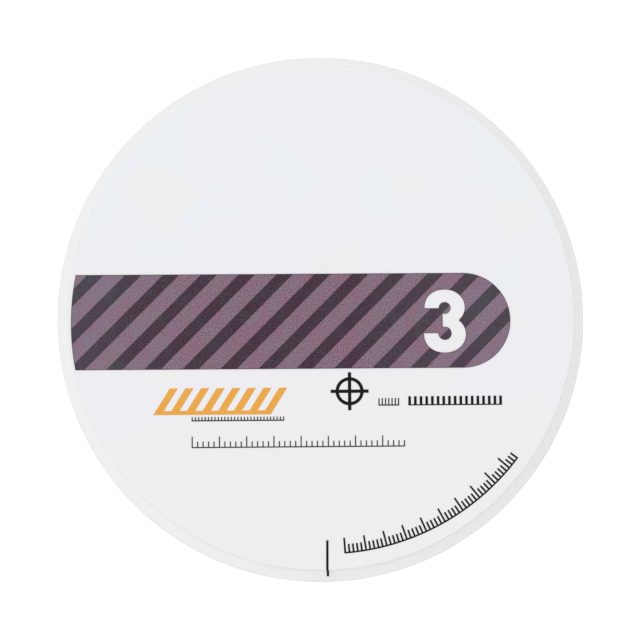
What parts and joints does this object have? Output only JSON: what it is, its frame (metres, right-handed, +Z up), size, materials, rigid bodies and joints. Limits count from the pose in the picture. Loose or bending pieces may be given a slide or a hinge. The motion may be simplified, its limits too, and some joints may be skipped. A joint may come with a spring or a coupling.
{
  "type": "dental milling disc",
  "caption": "Round pressed ceramic blank with a stepped clamping rim, for milling dental crowns and bridges, with a striped shade band and plain scales printed on its upper face.",
  "frame": {"origin": "centre of the disc's lower face", "axes": "+Z up out of the printed face along the disc's axis; +Y towards the top of the print, +X to its right"},
  "size_m": [0.0984, 0.0984, 0.0181],
  "materials": {
    "blank_ceramic": "chalky matt, pressed and not yet sintered",
    "mauve_ink": "speckled matt print",
    "plum_ink": "matt print",
    "amber_ink": "matt print",
    "grey_ink": "matt print",
    "black_ink": "matt print"
  },
  "bodies": {
    "root": {"disc_blank": "blank_ceramic", "band_ground": "mauve_ink", "band_stripes": "plum_ink", "accent_bars": "amber_ink", "fine_ticks": "grey_ink", "ruler": "grey_ink", "short_ticks": "black_ink", "bold_bars": "black_ink", "target": "black_ink", "arc_scale": "black_ink", "index_line": "black_ink"}
  },
  "joints": []
}
